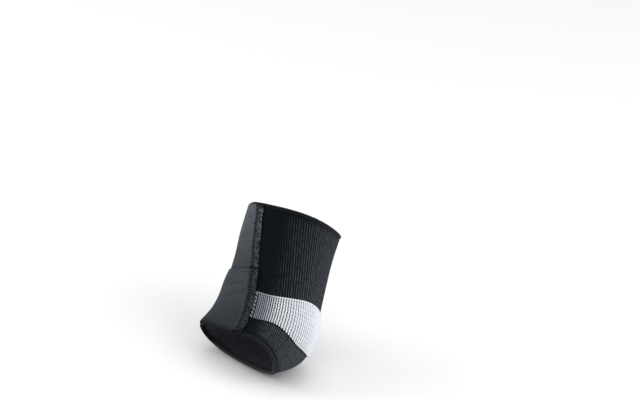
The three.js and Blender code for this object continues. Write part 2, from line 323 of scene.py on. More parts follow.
def cloth(name, share, station, outer, inner, every, knit, closed=False, filled=everywhere, marks=None):
    """A closed piece of cloth: a fine outer face, a coarser inner face and the walls between them.

    every is how many fine rows and columns one coarse cell spans, and filled tells which coarse cells are
    there. knit gives the pattern's rib and course at the rows and columns of a face that starts at a row,
    and marks are further numbers for the material.
    """
    rows, across = share.shape
    step_row, step_col = every
    coarse = (slice(None, None, step_row), slice(None, None, step_col))
    coarse_rows, coarse_across = share[coarse].shape
    points = np.concatenate(
        [
            off_skin(share, station, outer).reshape(-1, 3),
            off_skin(share[coarse], station[coarse], inner[coarse]).reshape(-1, 3),
        ]
    )
    fine_faces, fine_down, fine_right = grid_faces(
        rows, across, closed, lambda i, j: filled(i // step_row, j // step_col)
    )
    below = rows * across
    inner_faces, inner_down, inner_right = grid_faces(coarse_rows, coarse_across, closed, filled, below)
    faces = fine_faces.tolist() + inner_faces[:, ::-1].tolist()
    corner_rows = [fine_down.ravel(), inner_down[:, ::-1].ravel() * step_row]
    corner_cols = [fine_right.ravel(), inner_right[:, ::-1].ravel() * step_col]
    first_rows = [np.repeat(fine_down[:, 0], 4), np.repeat(inner_down[:, 0] * step_row, 4)]
    present = {tuple(cell) for cell in np.stack([inner_down[:, 0], inner_right[:, 0]], axis=1).tolist()}
    turns = ((0, 0, 0, 1), (0, 1, 1, 0), (1, 1, 0, -1), (1, 0, -1, 0))
    sides = ((-1, 0), (0, 1), (1, 0), (0, -1))
    for i, j in sorted(present):
        for (di, dj, run_i, run_j), (side_i, side_j) in zip(turns, sides):
            other = (i + side_i, (j + side_j) % coarse_across if closed else j + side_j)
            if other in present:
                continue
            count = step_col if run_j else step_row
            place = np.arange(count, -1, -1)
            down = (i + di) * step_row + run_i * place
            right = (j + dj) * step_col + run_j * place
            top = down * across + right % across
            down, right = np.append(down, down[[-1, 0]]), np.append(right, right[[-1, 0]])
            base = below + down[-2:] // step_row * coarse_across + right[-2:] // step_col % coarse_across
            faces.append([*top.tolist(), *base.tolist()])
            corner_rows.append(down)
            corner_cols.append(right)
            first_rows.append(np.full(len(down), i * step_row))
    mesh = bpy.data.meshes.new(name)
    mesh.from_pydata((points * MM).tolist(), [], faces)
    mesh.polygons.foreach_set("use_smooth", np.ones(len(faces), bool))
    mesh.set_sharp_from_angle(angle=SHARP)
    rib, course = knit(np.concatenate(corner_rows), np.concatenate(corner_cols), np.concatenate(first_rows))
    pattern = np.stack([rib, course, np.zeros(len(rib))], axis=1)
    mesh.attributes.new("knit", "FLOAT_VECTOR", "CORNER").data.foreach_set("vector", pattern.ravel())
    for mark, values in (marks or {}).items():
        both = np.concatenate([values.ravel(), values[coarse].ravel()])
        mesh.attributes.new(mark, "FLOAT", "POINT").data.foreach_set("value", both)
    piece = bpy.data.objects.new(name, mesh)
    bpy.context.scene.collection.objects.link(piece)
    return piece


# Sides of a thread, and a direction that no thread runs along
THREAD_SIDES = 6
ASIDE = np.array([0.31, 0.62, 0.72])


def threads(name, paths, radius):
    """Round threads in one mesh, each along its own line of points in millimetres."""
    points, faces = [], []
    sides = THREAD_SIDES
    turn = np.linspace(0, 2 * math.pi, sides, endpoint=False)
    for path in paths:
        way = np.gradient(path, axis=0)
        way /= np.linalg.norm(way, axis=1, keepdims=True)
        side = np.cross(way, ASIDE)
        side /= np.linalg.norm(side, axis=1, keepdims=True)
        up = np.cross(side, way)
        ring = side[:, None] * np.cos(turn)[None, :, None] + up[:, None] * np.sin(turn)[None, :, None]
        start = len(points)
        points += (path[:, None] + ring * radius).reshape(-1, 3).tolist()
        for k in range(len(path) - 1):
            for s in range(sides):
                a, b = start + k * sides + s, start + k * sides + (s + 1) % sides
                faces.append((a, b, b + sides, a + sides))
        last = start + (len(path) - 1) * sides
        faces.append(tuple(start + s for s in reversed(range(sides))))
        faces.append(tuple(last + s for s in range(sides)))
    mesh = bpy.data.meshes.new(name)
    mesh.from_pydata((np.array(points) * MM).tolist(), [], faces)
    mesh.polygons.foreach_set("use_smooth", np.ones(len(faces), bool))
    piece = bpy.data.objects.new(name, mesh)
    bpy.context.scene.collection.objects.link(piece)
    return piece


# Knitted sleeve: rows below, beside and above the inset, ribs, which are narrower below it, and loops
SLEEVE_ROWS = (24, 28, 64)
TOE_RIBS = 145
FINE_PER_RIB = 6
FINE_PER_TOE_RIB = RIBS * FINE_PER_RIB / TOE_RIBS
ROW_STEP = 4
ROWS_PER_LOOP = 2
RIB_DEPTH = 0.65
TOE_RIB_DEPTH = 0.4
CLOSED_DEPTH = 0.2
LOOP_DEPTH = 0.14
LOOP_SLANT = 0.55
HEM_GROOVE = {"depth": 0.5, "width": 0.8}

# Distances over which the closed knit beside the seam, the rims and the window opens into ribs
OPENS_FROM_SEAM = (7.5, 21.0)
OPENS_TILT = 0.16
OPENS_FROM_TOE = (3.5, 7.5)
OPENS_FROM_INSTEP = (3.4, 8.5)
OPENS_FROM_WINDOW = (0.4, 1.4)

# Painted sheen and shade: distances over which the knit turns from black by the seam (painted shade) to grey
# further round (painted sheen) and its ribs flatten, and how light the threads on them are, lighter further
# round by the same painted sheen
SHEEN_FROM_SEAM = (5.0, 67.0)
SHEEN_TILT = 0.25
FLATTER = 0.85
RIB_LIGHT = {"near": 0.37, "far": 0.4, "toe": 0.6}

# A short crease in the sleeve beside the lap of the straps, where the closed ribs also carry painted shade
CREASE = {
    "share": 0.082,
    "station": 59.5,
    "half_length": 7.0,
    "fade": 1.3,
    "width": 1.6,
    "depth": 1.1,
    "slope": 0.5,
}


def crease(share, station):
    """How much of the crease is at each place, from 0 to 1."""
    across = (share % 1 - CREASE["share"]) * girth_at(station)
    along = station - CREASE["station"] - CREASE["slope"] * across
    ends = smoothstep(CREASE["fade"] - np.abs(across) / CREASE["half_length"])
    return np.exp(-((along / CREASE["width"]) ** 2)) * ends


def rise(distance, limits):
    """0 up to the first limit, 1 from the second on and smooth between."""
    low, high = limits
    return smoothstep((distance - low) / (high - low))


def seam_distance(share, station):
    """Distance round the girth from the seam."""
    return np.minimum(share % 1, 1 - share % 1) * girth_at(station)


def painted_sheen(share, station):
    """How much sheen is painted on the knit: black by the seam (painted shade), grey further round and greyer
    towards the toes (painted sheen).
    """
    beside = seam_distance(share, station)
    return rise(beside - SHEEN_TILT * (station - INSET_HIGH["level"]), SHEEN_FROM_SEAM)


def make_sleeve():
    """The ribbed tube, with a window where the inset is."""
    count = RIBS * FINE_PER_RIB
    shares = rib_share(np.arange(count) / FINE_PER_RIB)
    station = rows_between(
        shares,
        [
            lambda share: toe_edge(share, TOE_HEM),
            lambda share: inset_edge(INSET_LOW, share),
            lambda share: inset_edge(INSET_HIGH, share),
            lambda share: instep_edge(share, INSTEP_HEM),
        ],
        SLEEVE_ROWS,
    )
    share = np.broadcast_to(shares, station.shape)
    edges = np.cumsum([0, *SLEEVE_ROWS])
    row = np.arange(len(station))[:, None]
    inside = np.abs(row - edges).min(axis=1)[:, None] > 0

    def knit(rows, columns, first):
        per_rib = np.where(first < edges[1], FINE_PER_TOE_RIB, FINE_PER_RIB)
        return columns / per_rib, rows / ROWS_PER_LOOP

    speed = stretch(share, station)
    from_seam = seam_distance(share, station)
    from_toe = (station - station[0]) * speed
    from_instep = (station[-1] - station) * speed
    from_window = np.abs(station[edges[1]] - station) * speed
    toe_band = row <= edges[1]
    rib, _ = knit(row, np.arange(count), row)
    ridge = np.cos(2 * math.pi * rib)
    folded = crease(share, station)
    tilted = from_seam - OPENS_TILT * np.maximum(station - INSET_HIGH["level"], 0)
    opening = rise(tilted, OPENS_FROM_SEAM) * rise(from_toe + TOE_HEM, OPENS_FROM_TOE)
    opening *= rise(from_instep + INSTEP_HEM, OPENS_FROM_INSTEP) * rise(from_window, OPENS_FROM_WINDOW)
    # The crease closes the ribs and dims their threads: painted shade in the crease
    opening *= 1 - folded
    # Painted sheen: grey ground and lighter threads further round from the seam, black by it as painted shade
    grey = painted_sheen(share, station)
    light = opening * (RIB_LIGHT["near"] + RIB_LIGHT["far"] * grey + RIB_LIGHT["toe"] * toe_band)
    full = np.where(toe_band, TOE_RIB_DEPTH, RIB_DEPTH)
    flat = 1 - FLATTER * grey
    depth = CLOSED_DEPTH + (full - CLOSED_DEPTH) * opening * flat
    loops = LOOP_DEPTH * np.where(row % ROWS_PER_LOOP == 0, 1, -1) * (0.5 + 0.5 * ridge) * flat * inside
    from_hem = np.minimum(from_toe, from_instep)
    groove = HEM_GROOVE["depth"] * np.exp(-((from_hem / HEM_GROOVE["width"]) ** 2))
    groove += HEM_GROOVE["depth"] * np.exp(-((from_window / HEM_GROOVE["width"]) ** 2)) * toe_band
    slant = LOOP_SLANT * (np.abs((rib + 0.5) % 1 - 0.5) * 2 - 0.5) * inside
    low, high = edges[1] // ROW_STEP, edges[2] // ROW_STEP
    return cloth(
        "sleeve_knit",
        share,
        station - slant,
        loops - depth * (0.5 - 0.5 * ridge) - groove - CREASE["depth"] * folded,
        np.full(share.shape, -KNIT_WALL),
        (ROW_STEP, FINE_PER_RIB),
        knit,
        closed=True,
        filled=lambda i, j: (i < low) | (i >= high) | (j >= INSET_RIBS),
        marks={"light": light, "painted_sheen": grey},
    )


# White inset
INSET_ROWS = 64
INSET_FINE = 8
INSET_ROWS_PER_LOOP = 6
INSET_DEPTH = 0.75
INSET_LOOP_DEPTH = 0.1
INSET_PROUD = 0.3
INSET_SUNK = 0.1
INSET_MARGIN = 0.1
INSET_EDGE = 0.8
INSET_SWING = 0.08


def make_inset():
    """The white knitted zone inside the sleeve's window, with ribs that swing from course to course."""
    margin = INSET_MARGIN / girth_at(INSET_LOW["level"])
    rib = np.arange(INSET_RIBS * INSET_FINE + 1) / INSET_FINE
    row = np.arange(INSET_ROWS + 1)[:, None]
    inside = np.clip(np.minimum(rib, INSET_RIBS - rib), 0, 1) * (row > 0) * (row < INSET_ROWS)
    swing = INSET_SWING * np.sin(math.pi * row / INSET_ROWS_PER_LOOP) * inside
    share = np.clip(rib_share(rib + swing), INSET_START + margin, INSET_END - margin)
    low, high = inset_edge(INSET_LOW, share), inset_edge(INSET_HIGH, share)
    station = low + (high - low) * row / INSET_ROWS
    speed = stretch(share, station)
    from_low, from_high = (station - low) * speed, (high - station) * speed
    from_start = (share - INSET_START) * girth_at(station)
    width = np.interp(rib, np.arange(RIBS), RIB_WIDTHS)
    relief = INSET_PROUD - INSET_DEPTH * width * (0.5 - 0.5 * np.cos(2 * math.pi * rib))
    relief = relief + INSET_LOOP_DEPTH * np.cos(2 * math.pi * row / INSET_ROWS_PER_LOOP)
    fade = smoothstep(np.minimum(np.minimum(from_low, from_high), from_start) / INSET_EDGE)
    bulge = inset_bulge(share, row / INSET_ROWS)
    return cloth(
        "inset_knit",
        share,
        station,
        relief * fade - INSET_SUNK * (1 - fade) + bulge,
        bulge - KNIT_WALL,
        (INSET_FINE, INSET_FINE),
        lambda rows, columns, first: (columns / INSET_FINE, rows / INSET_ROWS_PER_LOOP),
        marks={"from_low": from_low, "from_high": from_high, "from_start": from_start},
    )


# Rolled hems, pressed flat under the straps
HEM_ROWS = 8
HEM_COLUMNS = 408
HEM_PER_RIB = 4
HEM_SUNK = 0.45
PRESSED = 0.008


def make_hem(name, low, high):
    """A rolled rim: a half round outside, a shallower one inside."""
    shares = INSET_START + np.arange(HEM_COLUMNS) / HEM_COLUMNS
    station = rows_between(shares, [low, high], [HEM_ROWS])
    share = np.broadcast_to(shares, station.shape)
    place = np.linspace(-1, 1, HEM_ROWS + 1)[:, None]
    roll = np.sqrt(np.clip(1 - place**2, 0, 1)) * np.ones(share.shape)
    bare = smoothstep((STRAP_END - share) / PRESSED) * smoothstep((share - INSET_START) / PRESSED)
    outer = (HEM_OUT * bare + HEM_SUNK) * roll - HEM_SUNK
    inner = HEM_SUNK - KNIT_WALL - (HEM_IN + HEM_SUNK) * roll
    return cloth(
        name,
        share,
        station,
        outer,
        inner,
        (1, HEM_PER_RIB),
        lambda rows, columns, first: (columns / HEM_PER_RIB, rows / HEM_ROWS),
        closed=True,
        # Painted sheen on the bare hem: grey far from the seam, black by it as painted shade
        marks={"painted_sheen": painted_sheen(share, station) * bare},
    )


# Straps: columns over the plain cloth and over the sewn end, and the sewn end measured from the seam
PLAIN_COLUMNS = 120
SEWN_COLUMNS = 48
SEWN_SHARE = 0.042
STRAP_CELL = 8
EDGE_ROUND = 1.0
RIM_ROUND = 3.0
LAP_ROUND = 4.0
EDGE_THIN = 0.3
PILE_END = 3.9
RIDGE_START = 6.7
RIDGE_END = 8.3
SEWN_SOFT = 0.5
PILE_FADE = 1.0
TRENCH = {"middle": 5.3, "width": 1.3, "depth": 0.5}
RIDGE = {"middle": 7.5, "width": 0.8, "height": 0.22}
PILE = {"height": 0.05, "lumps": 0.4, "size": 0.8}
LUMP_GRID = 256

# Dark edges of the straps and their painted shade: the black edge at the rim, and painted shade in the shadow
# line along the lap, the broader corners at the sewn end, the darkening from the rim to the lap and along the
# toe rim
DARK_RIM = 0.4
DARK_LAP = 0.4
DARK_FADE = 0.5
DARK_CORNER = {"rim": 4.0, "lap": 3.2, "toe": 7.0, "width": 8.5}
DARK_FALL = {"share": 0.5, "length": 42.0}
DARK_TOE = {"share": 0.75, "width": 5.0}


def lumps(across, along, seed):
    """Smooth random lumps one unit wide, from 0 to 1."""
    heights = np.random.default_rng(seed).random((LUMP_GRID, LUMP_GRID))
    i, j = np.floor(across).astype(int) % LUMP_GRID, np.floor(along).astype(int) % LUMP_GRID
    t, u = smoothstep(across % 1), smoothstep(along % 1)
    beside, above = (i + 1) % LUMP_GRID, (j + 1) % LUMP_GRID
    low = heights[i, j] * (1 - t) + heights[beside, j] * t
    high = heights[i, above] * (1 - t) + heights[beside, above] * t
    return low * (1 - u) + high * u


def make_strap(name, edges, counts, floor, end, top_round, dark, seed):
    """An elastic strap with round edges, and a sewn end with a band of pile and a trench for stitches."""
    plain = np.linspace(STRAP_END, end - SEWN_SHARE, PLAIN_COLUMNS, endpoint=False)
    shares = np.append(plain, np.linspace(end - SEWN_SHARE, end, SEWN_COLUMNS + 1))
    station = rows_between(shares, edges, counts)
    share = np.broadcast_to(shares, station.shape)
    speed = stretch(share, station)
    from_seam = (end - share) * girth_at(station)
    from_end = (share - STRAP_END) * girth_at(station)
    from_low = (station - station[0]) * speed
    from_high = (station[-1] - station) * speed
    nearest = np.minimum.reduce([from_seam, from_end, from_low, from_high * EDGE_ROUND / top_round])
    edge = np.sqrt(np.clip(1 - (1 - np.clip(nearest / EDGE_ROUND, 0, 1)) ** 2, 0, 1))
    fuzz = lumps(from_seam / PILE["size"], station / PILE["size"], seed)
    pile = smoothstep(PILE_END + SEWN_SOFT - from_seam) * (PILE["height"] + PILE["lumps"] * (fuzz - 0.5))
    trench = TRENCH["depth"] * np.exp(-(((from_seam - TRENCH["middle"]) / TRENCH["width"]) ** 4))
    ridge = RIDGE["height"] * np.exp(-(((from_seam - RIDGE["middle"]) / RIDGE["width"]) ** 2))
    thickness = STRAP_WALL * (EDGE_THIN + (1 - EDGE_THIN) * edge) + (pile - trench + ridge) * edge
    under = floor(share, station) + STRAP_LIFT
    course = station - lap_edge(share)
    places = {"seam": from_seam, "low": from_low, "high": from_high, "course": course}
    return cloth(
        name,
        share,
        station,
        under + thickness,
        under,
        (STRAP_CELL, STRAP_CELL),
        lambda rows, columns, first: (from_seam[rows, columns], course[rows, columns]),
        marks={"fuzz": fuzz, "dark": dark(places)},
    )


def dark_edges(places):
    """Darkness of the upper strap: its black edge at the rim, and a painted shadow line along the lap.

    Both are broader over the sewn end, and painted shade darkens the strap from the rim to the lap.
    """
    corner = smoothstep(DARK_CORNER["width"] - places["seam"])
    course = places["course"]
    rim = 1 - smoothstep((places["high"] - DARK_RIM) / (DARK_FADE + DARK_CORNER["rim"] * corner))
    lap = 1 - smoothstep((course - DARK_LAP) / (DARK_FADE + DARK_CORNER["lap"] * corner))
    fall = DARK_FALL["share"] * (1 - smoothstep(course / DARK_FALL["length"]))
    return np.maximum.reduce([rim, lap, fall])


def dark_toe(places):
    """Painted shade on the lower strap along the toe rim, broader over the sewn end."""
    corner = smoothstep(DARK_CORNER["width"] - places["seam"])
    corner *= 1 - smoothstep(places["low"] / DARK_CORNER["toe"])
    return np.maximum(corner, DARK_TOE["share"] * (1 - smoothstep(places["low"] / DARK_TOE["width"])))


def ramp_end(share):
    """Stations where the lower strap has climbed onto the upper one."""
    return lap_edge(share) - LAP_COVER - GAP


def ramp_start(share):
    """Stations where the lower strap begins to climb."""
    return ramp_end(share) - LAP_RAMP


def climb(share, station):
    """Height of what the lower strap lies on."""
    return smoothstep((station - ramp_start(share)) / LAP_RAMP) * (STRAP_WALL + GAP)


def flat_floor(share, station):
    """Height of what the upper strap lies on."""
    return np.zeros_like(station)


# Zigzag stitches over the trench in the sewn ends of the straps
ZIGZAG_PITCH = 2.7
ZIGZAG_REACH = 2.0
ZIGZAG_POINTS = 16
ZIGZAG_INSET = 1.2
ZIGZAG_LIFT = 0.1
ZIGZAG_DIP = 0.25
ZIGZAG_SHARP = 8
THREAD = 0.22


def make_stitches(name, low, high, floor, end):
    """A zigzag thread along a strap's sewn end."""
    edge = np.full(1, end)
    first, last = low(edge)[0] + ZIGZAG_INSET, high(edge)[0] - ZIGZAG_INSET
    turns = round((last - first) / ZIGZAG_PITCH)
    t = np.linspace(0, turns, turns * ZIGZAG_POINTS)
    swing = np.sin(2 * math.pi * t)
    station = first + (last - first) * t / turns
    share = end - (TRENCH["middle"] + ZIGZAG_REACH * swing) / girth_at(station)
    height = floor(share, station) + STRAP_LIFT + STRAP_WALL + ZIGZAG_LIFT - ZIGZAG_DIP * swing**ZIGZAG_SHARP
    return threads(name, [off_skin(share, station, height)], THREAD)


# Overlocked end of the inset: short slanted stitches over its edge
OVERLOCK_PITCH = 3.1
OVERLOCK_FROM = -0.3
OVERLOCK_TO = 1.35
OVERLOCK_SLANT = 1.3
OVERLOCK_RISE = 0.45
OVERLOCK_SUNK = 0.5
OVERLOCK_POINTS = 10
OVERLOCK_THREAD = 0.62


def make_overlock():
    """Stitches over the inset's end beside the seam."""
    start = np.full(1, INSET_START)
    begin, end = inset_edge(INSET_LOW, start)[0], inset_edge(INSET_HIGH, start)[0]
    count = round((end - begin) / OVERLOCK_PITCH)
    t = np.linspace(0, 1, OVERLOCK_POINTS)
    paths = []
    for k in range(count):
        station = begin + (end - begin) * (k + 0.5) / count + OVERLOCK_SLANT * (0.5 - t)
        across = OVERLOCK_FROM + (OVERLOCK_TO - OVERLOCK_FROM) * t
        share = INSET_START + across / girth_at(station)
        height = (OVERLOCK_RISE + OVERLOCK_SUNK) * np.sin(math.pi * t) - OVERLOCK_SUNK
        paths.append(off_skin(share, station, height))
    return threads("inset_overlock", paths, OVERLOCK_THREAD)


class Field:
    """A number that varies over a surface: a node socket with arithmetic."""

    def __init__(self, tree, socket):
        self.tree, self.socket = tree, socket

    def feed(self, target, value):
        """Sets a socket to a number, or links it to another field."""
        if isinstance(value, Field):
            self.tree.links.new(value.socket, target)
        else:
            target.default_value = value

    def apply(self, operation, *others):
        """A Math node on this number and others."""
        node = self.tree.nodes.new("ShaderNodeMath")
        node.operation = operation
        for target, value in zip(node.inputs, (self, *others)):
            self.feed(target, value)
        return Field(self.tree, node.outputs[0])

    def __add__(self, other):
        return self.apply("ADD", other)

    def __sub__(self, other):
        return self.apply("SUBTRACT", other)

    def __mul__(self, other):
        return self.apply("MULTIPLY", other)

    def most(self, other):
        """The larger of two numbers."""
        return self.apply("MAXIMUM", other)

    def one_minus(self):
        """1 minus this number."""
        return (self * -1.0) + 1.0

    def spread(self, low, high):
        """Numbers from 0 to 1 spread from low to high."""
        return self * (high - low) + low

    def step(self, low, high):
        """0 at low, 1 at high and smooth between."""
        node = self.tree.nodes.new("ShaderNodeMapRange")
        node.interpolation_type = "SMOOTHSTEP"
        self.feed(node.inputs["Value"], self)
        self.feed(node.inputs["From Min"], low)
        self.feed(node.inputs["From Max"], high)
        return Field(self.tree, node.outputs["Result"])

    def between(self, low, high, soft):
        """1 from low to high, and 0 outside."""
        return self.step(low - soft, low + soft) * self.step(high + soft, high - soft)


# Sockets of a Mix node that mixes colours
MIX_LOW = 6
MIX_HIGH = 7
MIX_RESULT = 2


class Cloth:
    """A cloth material and the patterns that its surfaces carry."""

    def __init__(self, name, roughness, sheen, tint):
        self.material = bpy.data.materials.new(name)
        self.material.use_nodes = True
        self.tree = self.material.node_tree
        self.shader = self.tree.nodes["Principled BSDF"]
        self.shader.inputs["Roughness"].default_value = roughness
        self.shader.inputs["Specular IOR Level"].default_value = 0.08
        self.shader.inputs["Sheen Weight"].default_value = sheen
        self.shader.inputs["Sheen Roughness"].default_value = 0.45
        self.shader.inputs["Sheen Tint"].default_value = (*tint, 1)

    def attribute(self, name, output):
        """A socket with what the mesh keeps under a name."""
        node = self.tree.nodes.new("ShaderNodeAttribute")
        node.attribute_name = name
        return node.outputs[output]

    def mark(self, name):
        """A number that the mesh keeps at its points."""
        return Field(self.tree, self.attribute(name, "Fac"))

    def knit(self):
        """The rib and the course at each place."""
        parts = self.tree.nodes.new("ShaderNodeSeparateXYZ")
        self.tree.links.new(self.attribute("knit", "Vector"), parts.inputs[0])
        return Field(self.tree, parts.outputs[0]), Field(self.tree, parts.outputs[1])

    def loops(self):
        """How deep each place is between two ribs, and the bulge of its loop, both from 0 to 1."""
        rib, course = self.knit()
        valley = ((rib.apply("FRACT") + -0.5).apply("ABSOLUTE") * -2.0) + 1.0
        bulge = ((course + 0.5).apply("FRACT") * math.pi).apply("SINE")
        return valley, bulge

    def noise(self, scale, detail, stretch=None):
        """Cloudy noise over the object, or over its ribs and courses where it is stretched."""
        noise = self.tree.nodes.new("ShaderNodeTexNoise")
        noise.inputs["Scale"].default_value = scale
        noise.inputs["Detail"].default_value = detail
        if stretch:
            mapping = self.tree.nodes.new("ShaderNodeMapping")
            mapping.inputs["Scale"].default_value = stretch
            self.tree.links.new(self.attribute("knit", "Vector"), mapping.inputs["Vector"])
            source = mapping.outputs["Vector"]
        else:
            source = self.tree.nodes.new("ShaderNodeTexCoord").outputs["Object"]
        self.tree.links.new(source, noise.inputs["Vector"])
        return Field(self.tree, noise.outputs["Fac"])

    def colour(self, share, low, high):
        """A colour between two, by a number from 0 to 1."""
        mix = self.tree.nodes.new("ShaderNodeMix")
        mix.data_type = "RGBA"
        self.tree.links.new(share.socket, mix.inputs["Factor"])
        for key, value in ((MIX_LOW, low), (MIX_HIGH, high)):
            if isinstance(value, bpy.types.NodeSocket):
                self.tree.links.new(value, mix.inputs[key])
            else:
                mix.inputs[key].default_value = (*value, 1)
        return mix.outputs[MIX_RESULT]

    def finish(self, colour, height, strength, distance):
        """Connects the colour and the relief."""
        self.tree.links.new(colour, self.shader.inputs["Base Color"])
        bump = self.tree.nodes.new("ShaderNodeBump")
        bump.inputs["Strength"].default_value = strength
        bump.inputs["Distance"].default_value = distance
        self.tree.links.new(height.socket, bump.inputs["Height"])
        self.tree.links.new(bump.outputs["Normal"], self.shader.inputs["Normal"])
        return self.material


def tones(colour, shares):
    """A colour made lighter or darker by each share."""
    return [tuple(share * part for part in colour) for share in shares]


def weighed(fields, shares):
    """The sum of fields, each times its share."""
    parts = [field * share for field, share in zip(fields, shares)]
    total = parts[0]
    for part in parts[1:]:
        total = total + part
    return total


# Tints of the sheen
COOL = (0.8, 0.88, 1.0)
WHITE = (1, 1, 1)

# Black knit: the part of a rib and of a loop that the thread covers, its beads, how far loops, flecks and
# beads dim or brighten it, the colours of the ground by the seam and far from it, and of the thread; the
# ground is black by the seam as painted shade and grey far from it as painted sheen.
# The relief of each knit weighs loops, ribs and flecks.
BLACK_KNIT = {
    "on_rib": (0.5, 0.08),
    "on_loop": (0.1, 0.7),
    "bead": (0.35, 0.62),
    "bead_size": (0.9, 0.45, 1),
    "loop_light": (0.5, 1.0),
    "fleck_light": (0.7, 1.3),
    "bead_light": (0.45, 1.2),
    "near": (0.0023, 0.0041, 0.0055),
    "far": (0.0195, 0.0208, 0.0245),
    "thread": (0.1, 0.113, 0.133),
    "relief": (0.5, 0.5, 0.25),
}


def black_knit():
    """Black ribbed knit: lighter threads on the open ribs, deep black between them."""
    look = BLACK_KNIT
    made = Cloth("black_knit", roughness=0.85, sheen=0.035, tint=COOL)
    valley, bulge = made.loops()
    fleck = made.noise(scale=900, detail=2)
    bead = made.noise(scale=1.0, detail=1, stretch=look["bead_size"]).step(*look["bead"])
    thread = valley.step(*look["on_rib"]) * bulge.step(*look["on_loop"]).spread(*look["loop_light"])
    thread = thread * fleck.spread(*look["fleck_light"]) * bead.spread(*look["bead_light"])
    # Painted sheen: the ground goes from near black by the seam (painted shade) to grey far round, and the
    # threads' light mark is stronger far round (painted sheen)
    ground = made.colour(made.mark("painted_sheen"), look["near"], look["far"])
    colour = made.colour(thread * made.mark("light"), ground, look["thread"])
    height = weighed((bulge, valley.one_minus(), fleck), look["relief"])
    return made.finish(colour, height, strength=0.5, distance=0.0004)


# White knit: how far from its start the holes narrow and close and the thread turns white, how much of a
# valley a hole takes, the rungs across it, the closed upper hem, the gap beside the overlocked end, the
# ragged lower edge, and the colours
WHITE_KNIT = {
    "narrowing": (6.0, 34.0),
    "closing": (88.0, 34.0),
    "whitening": (6.0, 22.0),
    "hole_edge": (0.28, 0.6),
    "hole_soft": 0.12,
    "uneven": 0.24,
    "uneven_size": (0.8, 0.8, 1),
    "rung": (0.15, 0.5),
    "rung_dark": (0.35, 1.0),
    "hem": (0.3, 0.9),
    "gap": (1.5, 2.7, 0.2),
    "ragged": (0.3, 1.7),
    "grey": ((0.21, 0.22, 0.262), (0.37, 0.383, 0.44)),
    "white": ((0.595, 0.61, 0.66), (0.8, 0.815, 0.865)),
    "ground": (0.008, 0.01, 0.015),
    "relief": (0.4, 0.6, 0.2),
}


def white_knit():
    """White knit over a black ground, which shows between the ribs near the seam."""
    look = WHITE_KNIT
    made = Cloth("white_knit", roughness=0.8, sheen=0.03, tint=WHITE)
    valley, bulge = made.loops()
    from_start = made.mark("from_start")
    fleck = made.noise(scale=1500, detail=2)
    uneven = made.noise(scale=1.0, detail=1, stretch=look["uneven_size"]) * look["uneven"]
    edge = from_start.step(*look["narrowing"]).spread(*look["hole_edge"]) + uneven
    rung = bulge.step(*look["rung"]).spread(*look["rung_dark"])
    hem = made.mark("from_high").step(*look["hem"])
    hole = valley.step(edge - look["hole_soft"], edge + look["hole_soft"]) * rung
    hole = hole * from_start.step(*look["closing"]) * hem
    gap = from_start.between(*look["gap"]) * hem
    ragged = made.mark("from_low").step(valley.spread(*look["ragged"]), valley)
    grey = made.colour(fleck, *look["grey"])
    white = made.colour(fleck, *look["white"])
    thread = made.colour(from_start.step(*look["whitening"]), grey, white)
    colour = made.colour(hole.most(gap).most(ragged), thread, look["ground"])
    height = weighed((bulge, valley.one_minus(), fleck), look["relief"])
    return made.finish(colour, height, strength=0.5, distance=0.0004)


# Knit of the hems: its colours by the seam and far from it, black by the seam as painted shade and grey far
# from it as painted sheen
HEM_KNIT = {
    "black": ((0.003, 0.0034, 0.004), (0.022, 0.024, 0.027)),
    "grey": ((0.0095, 0.0107, 0.0118), (0.062, 0.067, 0.073)),
    "relief": (0.4, 0.6),
}


def hem_knit():
    """Black knit of the rolled hems."""
    look = HEM_KNIT
    made = Cloth("hem_knit", roughness=0.85, sheen=0.01, tint=COOL)
    valley, bulge = made.loops()
    light = made.noise(scale=1800, detail=2) * bulge
    black = made.colour(light, *look["black"])
    grey = made.colour(light, *look["grey"])
    # Painted sheen: black by the seam (painted shade), grey far from it (painted sheen)
    colour = made.colour(made.mark("painted_sheen"), black, grey)
    height = weighed((bulge, valley.one_minus()), look["relief"])
    return made.finish(colour, height, strength=0.3, distance=0.0003)


# Elastic: its broken lines, where they fade towards the toes and where painted shade darkens it there, the
# weights of lines and flecks, the fuzz of the pile, and shares of the strap's shade, the last for the painted
# shade and shadow of the dark mark
LINE_PITCH = 1.9
ELASTIC = {
    "line": (0.26, 0.12),
    "break": (0.38, 0.66),
    "break_size": (0.05, 0.22, 1),
    "lines_from": (-42.0, -16.0),
    "shade_from": (-48.0, -12.0),
    "fleck": (0.3, 0.7),
    "weave": (0.75, 0.25),
    "fuzz": (0.25, 0.75),
    "fuzz_light": (0.6, 1.4),
    "trench_fleck": (0.4, 0.7),
    "plain": (0.5, 1.15),
    "trench": (0.06, 0.35),
    "pile_dark": 0.2,
    "ridge_dark": 0.6,
    "ridge_light": 1.2,
    "dark": 0.08,
}


